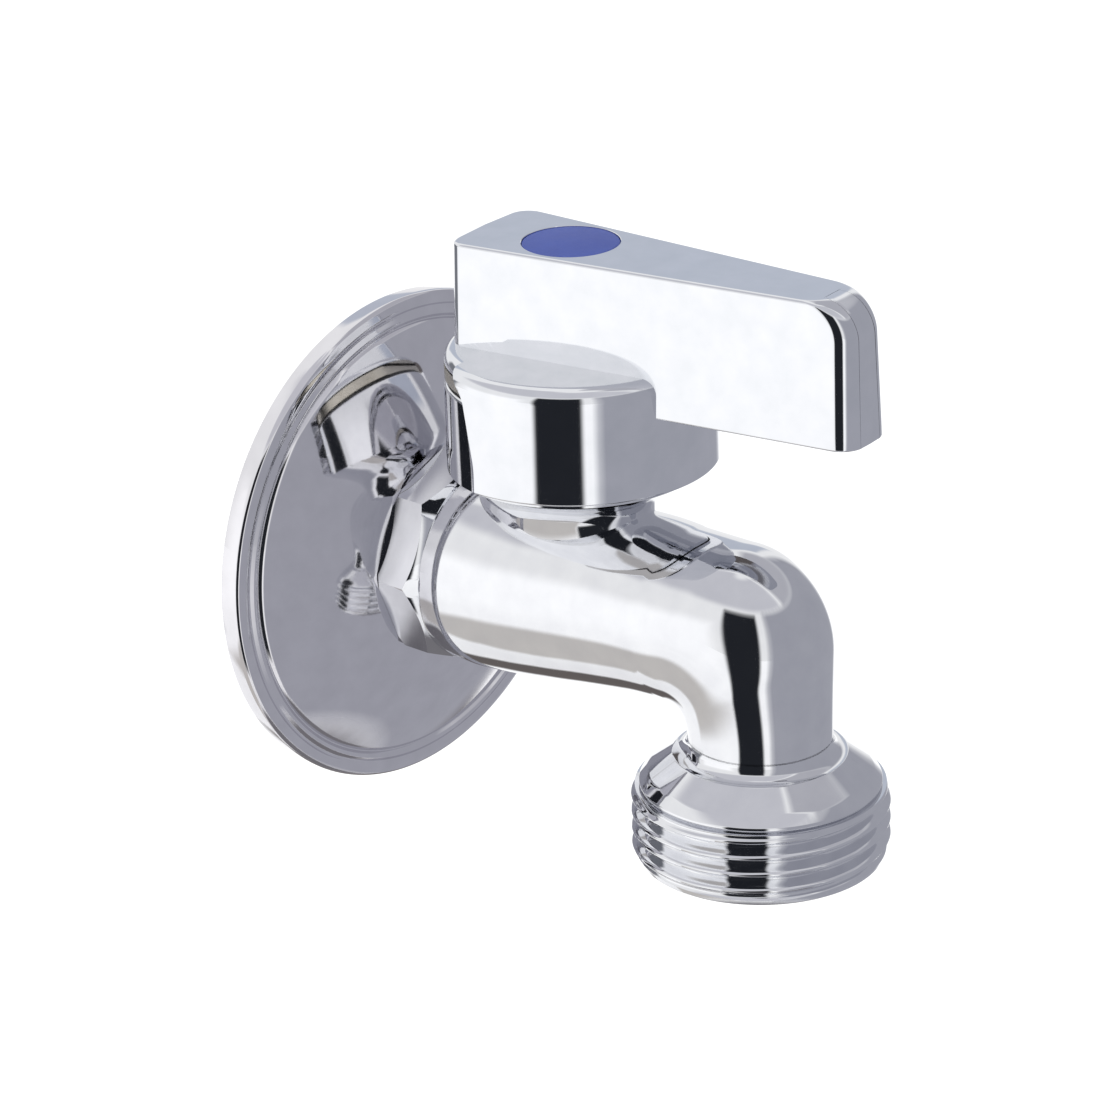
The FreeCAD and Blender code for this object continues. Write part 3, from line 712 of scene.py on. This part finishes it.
def newMaterial(name):
    material = bpy.data.materials.new(name)
    material.use_nodes = True
    material.node_tree.nodes.clear()
    return material, material.node_tree


def perMillimetre(sizeMm):
    # noise scale whose patches are about this many millimetres across, in metres of object space
    return 1 / (sizeMm * mm)


def blendColours(tree, pattern, dark, light, low=0.3, high=0.7):
    # two colours laid over a grey pattern
    ramp = addNode(tree, "ShaderNodeValToRGB", links={"Fac": pattern})
    ramp.color_ramp.elements[0].position, ramp.color_ramp.elements[0].color = low, linear(dark)
    ramp.color_ramp.elements[1].position, ramp.color_ramp.elements[1].color = high, linear(light)
    return ramp.outputs["Color"]


def between(tree, pattern, low, high):
    # a grey pattern spread from one value to another
    spread = addNode(tree, "ShaderNodeMapRange", {"To Min": low, "To Max": high}, {"Value": pattern})
    return spread.outputs["Result"]


def clouds(tree, place, sizeMm, detail):
    return addNode(tree, "ShaderNodeTexNoise", {"Scale": perMillimetre(sizeMm), "Detail": detail},
                   {"Vector": place}).outputs["Fac"]


def addSurface(tree, settings, colour, roughness, relief):
    shader = addNode(tree, "ShaderNodeBsdfPrincipled", settings,
                     {"Base Color": colour, "Roughness": roughness, "Normal": relief.outputs["Normal"]})
    addNode(tree, "ShaderNodeOutputMaterial", links={"Surface": shader.outputs[0]})


chromeFinish = {
    "polishWave": 7.0,  # mm between the soft waves that hand polishing leaves in a casting
    "plateGrain": 0.9,  # mm, the plate's orange peel; the real grain is finer and wouldn't show
    "haze": 2.6,  # mm across the faint patches of haze
}


def chromedSurface(name, dark, light, rough, smooth, waveHeight, grainHeight):
    # bright chrome over polished metal: a cool mirror, a little uneven where it was polished by hand
    material, tree = newMaterial(name)
    place = addNode(tree, "ShaderNodeTexCoord").outputs["Object"]
    wave = clouds(tree, place, chromeFinish["polishWave"], 1.0)
    grain = clouds(tree, place, chromeFinish["plateGrain"], 2.0)
    haze = clouds(tree, place, chromeFinish["haze"], 4.0)
    waves = addNode(tree, "ShaderNodeBump", {"Strength": 1.0, "Distance": waveHeight * mm}, {"Height": wave})
    peel = addNode(tree, "ShaderNodeBump", {"Strength": 1.0, "Distance": grainHeight * mm},
                   {"Height": grain, "Normal": waves.outputs["Normal"]})
    addSurface(tree, {"Metallic": 1.0}, blendColours(tree, haze, dark, light), between(tree, haze, smooth, rough),
               peel)
    return material


turnedFinish = {
    "radiansPerScale": 20,  # radians that the wave pattern runs through in one unit of its scale
    "waver": 0.6,
    "stain": 1.5,  # mm across the marks that handling leaves
    "depthShare": 0.6,
}


def turnedMetal(name, dark, light, rough, smooth, lineWidth, lineHeight):
    # metal straight from the lathe: rings that stretch each highlight across them. A radian of the pattern
    # is one lineWidth, so the rings stand 2 pi of them apart, coarser than a real tool's so that they show
    material, tree = newMaterial(name)
    place = addNode(tree, "ShaderNodeTexCoord").outputs["Object"]
    tool = addNode(tree, "ShaderNodeTexWave",
                   {"bands_direction": "Z", "Scale": perMillimetre(lineWidth) / turnedFinish["radiansPerScale"],
                    "Distortion": turnedFinish["waver"], "Detail": 2.0}, {"Vector": place}).outputs["Fac"]
    stain = clouds(tree, place, turnedFinish["stain"], 5.0)
    lines = addNode(tree, "ShaderNodeBump", {"Strength": turnedFinish["depthShare"], "Distance": lineHeight * mm},
                    {"Height": tool})
    addSurface(tree, {"Metallic": 1.0}, blendColours(tree, stain, dark, light),
               between(tree, stain, smooth, rough), lines)
    return material


mouldedFinish = {
    "cloudGrains": 12,  # grains across one cloud of slightly different colour
    "depthShare": 0.5,
}


def mouldedSurface(name, dark, light, rough, smooth, grainSize, grainHeight, ior):
    # plastic, rubber or ceramic: even colour with a fine dull grain that breaks up the gloss
    material, tree = newMaterial(name)
    place = addNode(tree, "ShaderNodeTexCoord").outputs["Object"]
    grain = clouds(tree, place, grainSize, 3.0)
    cloud = clouds(tree, place, grainSize * mouldedFinish["cloudGrains"], 2.0)
    bump = addNode(tree, "ShaderNodeBump", {"Strength": mouldedFinish["depthShare"], "Distance": grainHeight * mm},
                   {"Height": grain})
    addSurface(tree, {"IOR": ior}, blendColours(tree, cloud, dark, light), between(tree, grain, smooth, rough),
               bump)
    return material


# Each call gives the pattern's two colours, its roughest and smoothest places, then the sizes of its relief,
# and for what is moulded the index of refraction at the end.
# Chrome plate on a brass casting, on pressed sheet and on a zinc die casting:
chromedBrass = chromedSurface("chromedBrassCasting", "#DEDFE3", "#E5E6E9", 0.055, 0.03, 0.03, 0.0006)
chromedSheet = chromedSurface("chromedPressedSheet", "#DCDBDF", "#E3E2E6", 0.07, 0.045, 0.012, 0.0005)
chromedZinc = chromedSurface("chromedZincDieCasting", "#DFE1E5", "#E6E7EB", 0.06, 0.03, 0.012, 0.0005)
# dull nickel over turned brass, and the bare brass of the spindle:
nickelledBrass = turnedMetal("nickelledTurnedBrass", "#BDB8AC", "#CEC9BE", 0.34, 0.24, 0.3, 0.01)
turnedBrass = turnedMetal("turnedBrass", "#B58E45", "#CDA95E", 0.3, 0.2, 0.3, 0.01)
# plated steel of the screw, its washer and the circlip:
brightSteel = turnedMetal("platedSpringSteel", "#B7B9BD", "#CACCCF", 0.3, 0.18, 0.4, 0.006)
# button moulded in blue ABS with a spark-eroded, half-gloss face:
blueAbs = mouldedSurface("mouldedBlueAbs", "#3550B4", "#3C59BE", 0.5, 0.36, 0.35, 0.004, 1.53)
# lapped alumina, compression-moulded nitrile rubber and machined acetal:
lappedAlumina = mouldedSurface("lappedAlumina", "#E9E6DC", "#F1EEE6", 0.4, 0.26, 0.25, 0.001, 1.76)
nitrileRubber = mouldedSurface("mouldedNitrileRubber", "#161617", "#212122", 0.72, 0.5, 0.3, 0.006, 1.52)
whiteAcetal = mouldedSurface("machinedAcetal", "#E9E9E3", "#F1F1EC", 0.46, 0.32, 0.3, 0.003, 1.48)

finishes = {
    "chromed_brass": chromedBrass,
    "chromed_sheet": chromedSheet,
    "chromed_zinc": chromedZinc,
    "nickelled_brass": nickelledBrass,
    "bare_brass": turnedBrass,
    "bright_steel": brightSteel,
    "blue_plastic": blueAbs,
    "white_ceramic": lappedAlumina,
    "black_rubber": nitrileRubber,
    "white_acetal": whiteAcetal,
}

# every node of the frame takes its finish by the name of its own material slot
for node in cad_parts.values():
    for materialSlot in node.material_slots:
        materialSlot.material = finishes[materialSlot.material.name]
print("materials made:", len(finishes))


def dress(piece, body, replaced, slotName):
    piece.data.materials.clear()
    piece.data.materials.append(finishes[slotName])
    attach(piece, body)
    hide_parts(replaced)
    print(piece.name, "made:", len(piece.data.polygons), "faces")


dress(makeTapBody(), "root", "tap_body", "chromed_brass")
dress(makeWallFlange(flangeShape), "root", "wall_flange", "chromed_sheet")
dress(makeHandle(leverShape), "lever", "handle", "chromed_zinc")
dress(makeIndexCap(capShape), "lever", "index_cap", "blue_plastic")


# ---- studio

# the camera's place was worked out from the photograph's circles; angles are degrees, lengths millimetres
studio = {
    "target": (0, -30, 10),
    "azimuth": -48.07,
    "elevation": 22.62,
    "roll": 1.61,
    "right": 5.03,
    "down": -5.42,
    "distance": 429.55,
    "focal": 135.0,
    "sensor": 36,
    "nearest": 0.01,  # metres
    "farthest": 10,
    "floor": -520.0,
    "floorHalf": 6000.0,
    "floorGlow": 0.3,
    "paperFibre": 30.0,
}


def makeCamera(shape):
    azimuth, elevation = math.radians(shape["azimuth"]), math.radians(shape["elevation"])
    back = Vector((math.sin(azimuth) * math.cos(elevation), -math.cos(azimuth) * math.cos(elevation),
                   math.sin(elevation)))
    right = (-back).cross(Vector((0, 0, 1))).normalized()
    down = (-back).cross(right)
    roll = math.radians(shape["roll"])
    rolledRight = right * math.cos(roll) + down * math.sin(roll)
    rolledDown = down * math.cos(roll) - right * math.sin(roll)
    place = Vector(shape["target"]) + back * shape["distance"]
    place = place - rolledRight * shape["right"] - rolledDown * shape["down"]
    data = bpy.data.cameras.new("camera")
    data.lens = shape["focal"]
    data.sensor_width = shape["sensor"]
    data.clip_start, data.clip_end = shape["nearest"], shape["farthest"]
    camera = bpy.data.objects.new("camera", data)
    turn = Matrix((rolledRight, -rolledDown, back)).transposed().to_4x4()
    camera.matrix_world = Matrix.Translation(place * mm) @ turn
    bpy.context.scene.collection.objects.link(camera)
    bpy.context.scene.camera = camera


makeCamera(studio)


# Chrome shows the room it stands in. Soft panels stand round the tap, on a shell far larger than the tap.
# Angles are degrees: azimuth from straight out of the wall, positive towards +X, elevation from level. A
# panel fades out over its last degrees ("soft"), and where none stands the white studio shows.
shell = {"radius": 470.0, "steps": 28}
panels = {
    "softbox": {"azimuth": (-150, -84), "elevation": (-26, 24), "soft": 14, "level": "#FFFFFF", "strength": 1.25},
    "cameraGap": {"azimuth": (-84, -41), "elevation": (-50, 40), "soft": 5, "level": "#25272C", "strength": 1.0},
    "greyWall": {"azimuth": (-36, 108), "elevation": (-68, 44), "soft": 8, "level": "#AAABB4", "strength": 1.0},
    "darkDoor": {"azimuth": (70, 104), "elevation": (2, 28), "soft": 5, "level": "#82848A", "strength": 1.0},
    "farWall": {"azimuth": (112, 156), "elevation": (10, 36), "soft": 4, "level": "#C6CCD8", "strength": 1.0},
    "leftWall": {"azimuth": (-190, -150), "elevation": (-30, 20), "soft": 6, "level": "#7E8086", "strength": 1.0},
    "tableLeft": {"azimuth": (-160, -80), "elevation": (-66, -32), "soft": 6, "level": "#D0CCC8", "strength": 1.0},
    "tableRight": {"azimuth": (92, 170), "elevation": (-68, -40), "soft": 6, "level": "#6A6462", "strength": 1.0},
    "ceilingRight": {"azimuth": (10, 130), "elevation": (36, 84), "soft": 8, "level": "#BDBDC4", "strength": 1.0},
    "ceilingLeft": {"azimuth": (-180, 10), "elevation": (38, 88), "soft": 8, "level": "#D4D4DA", "strength": 1.0},
    "pit": {"azimuth": (-180, 180), "elevation": (-90, -62), "soft": 8, "level": "#7C7A7E", "strength": 1.0},
}


def makePanel(name, shape):
    # patch of a shell round the studio's target; its cover fades to nothing towards the edges
    bm = bmesh.new()
    cover = bm.verts.layers.float.new("cover")
    west, east = shape["azimuth"]
    low, high = shape["elevation"]
    steps, fullTurn, nadir = shell["steps"], 360, -90
    rows = []
    for row in range(steps + 1):
        elevation = low + (high - low) * row / steps
        rows.append([])
        for column in range(steps + 1):
            azimuth = west + (east - west) * column / steps
            upright, turn = math.radians(elevation), math.radians(azimuth)
            outwards = Vector((math.sin(turn) * math.cos(upright), -math.cos(turn) * math.cos(upright),
                               math.sin(upright)))
            vert = bm.verts.new((Vector(studio["target"]) + outwards * shell["radius"]) * mm)
            fromSide = min(azimuth - west, east - azimuth) if east - west < fullTurn else fullTurn
            fromBelow = elevation - low if low > nadir else fullTurn
            fade = min(1, min(fromSide, fromBelow, high - elevation) / shape["soft"])
            vert[cover] = fade * fade * (3 - 2 * fade)
            rows[-1].append(vert)
    for lower, upper in zip(rows, rows[1:]):
        for index in range(steps):
            bm.faces.new((lower[index], lower[index + 1], upper[index + 1], upper[index]))
    panel = addObject(name, bm)
    panel.visible_camera = False
    panel.visible_shadow = False

    material, tree = newMaterial(name)
    fade = addNode(tree, "ShaderNodeAttribute", {"attribute_name": "cover"}).outputs["Fac"]
    clear = addNode(tree, "ShaderNodeBsdfTransparent")
    glow = addNode(tree, "ShaderNodeEmission", {"Color": linear(shape["level"]), "Strength": shape["strength"]})
    mixed = addNode(tree, "ShaderNodeMixShader", links={0: fade, 1: clear.outputs[0], 2: glow.outputs[0]})
    addNode(tree, "ShaderNodeOutputMaterial", links={"Surface": mixed.outputs[0]})
    # the chrome's own rays find the glowing shapes, so they aren't searched for as lamps
    material.cycles.emission_sampling = "NONE"
    panel.data.materials.append(material)


for panelName, panelShape in panels.items():
    makePanel(panelName, panelShape)
print("panels made:", len(panels))


def makeFloor(shape):
    # plain white sweep: it glows for the camera and in the metal, and still takes the tap's shadow
    bm = bmesh.new()
    half, height = shape["floorHalf"], shape["floor"]
    bm.faces.new([bm.verts.new(Vector((x * half, y * half, height)) * mm)
                  for x, y in ((-1, -1), (1, -1), (1, 1), (-1, 1))])
    floor = addObject("studioFloor", bm)
    material, tree = newMaterial("whitePaperSweep")
    rays = addNode(tree, "ShaderNodeLightPath").outputs
    seen = addNode(tree, "ShaderNodeMath", {"operation": "MAXIMUM"},
                   {0: rays["Is Camera Ray"], 1: rays["Is Glossy Ray"]}).outputs[0]
    seen = addNode(tree, "ShaderNodeMath", {"operation": "MAXIMUM"},
                   {0: seen, 1: rays["Is Transmission Ray"]}).outputs[0]
    fibre = addNode(tree, "ShaderNodeTexNoise", {"Scale": perMillimetre(shape["paperFibre"]),
                                                 "Detail": 3.0}).outputs["Fac"]
    paper = addNode(tree, "ShaderNodeBsdfDiffuse", links={"Color": blendColours(tree, fibre, "#F1F1F1", "#F6F6F6")})
    glow = addNode(tree, "ShaderNodeEmission", {"Color": linear("#FFFFFF")},
                   {"Strength": between(tree, seen, 0.0, shape["floorGlow"])})
    both = addNode(tree, "ShaderNodeAddShader", links={0: paper.outputs[0], 1: glow.outputs[0]})
    addNode(tree, "ShaderNodeOutputMaterial", links={"Surface": both.outputs[0]})
    material.cycles.emission_sampling = "NONE"
    floor.data.materials.append(material)


makeFloor(studio)

world = bpy.data.worlds.new("whiteStudio")
world.use_nodes = True
bpy.context.scene.world = world
world.node_tree.nodes.clear()
background = addNode(world.node_tree, "ShaderNodeBackground", {"Color": linear("#FFFFFF"), "Strength": 1.0})
addNode(world.node_tree, "ShaderNodeOutputWorld", links={"Surface": background.outputs[0]})
bpy.context.scene.view_settings.view_transform = "Standard"
print("studio set")
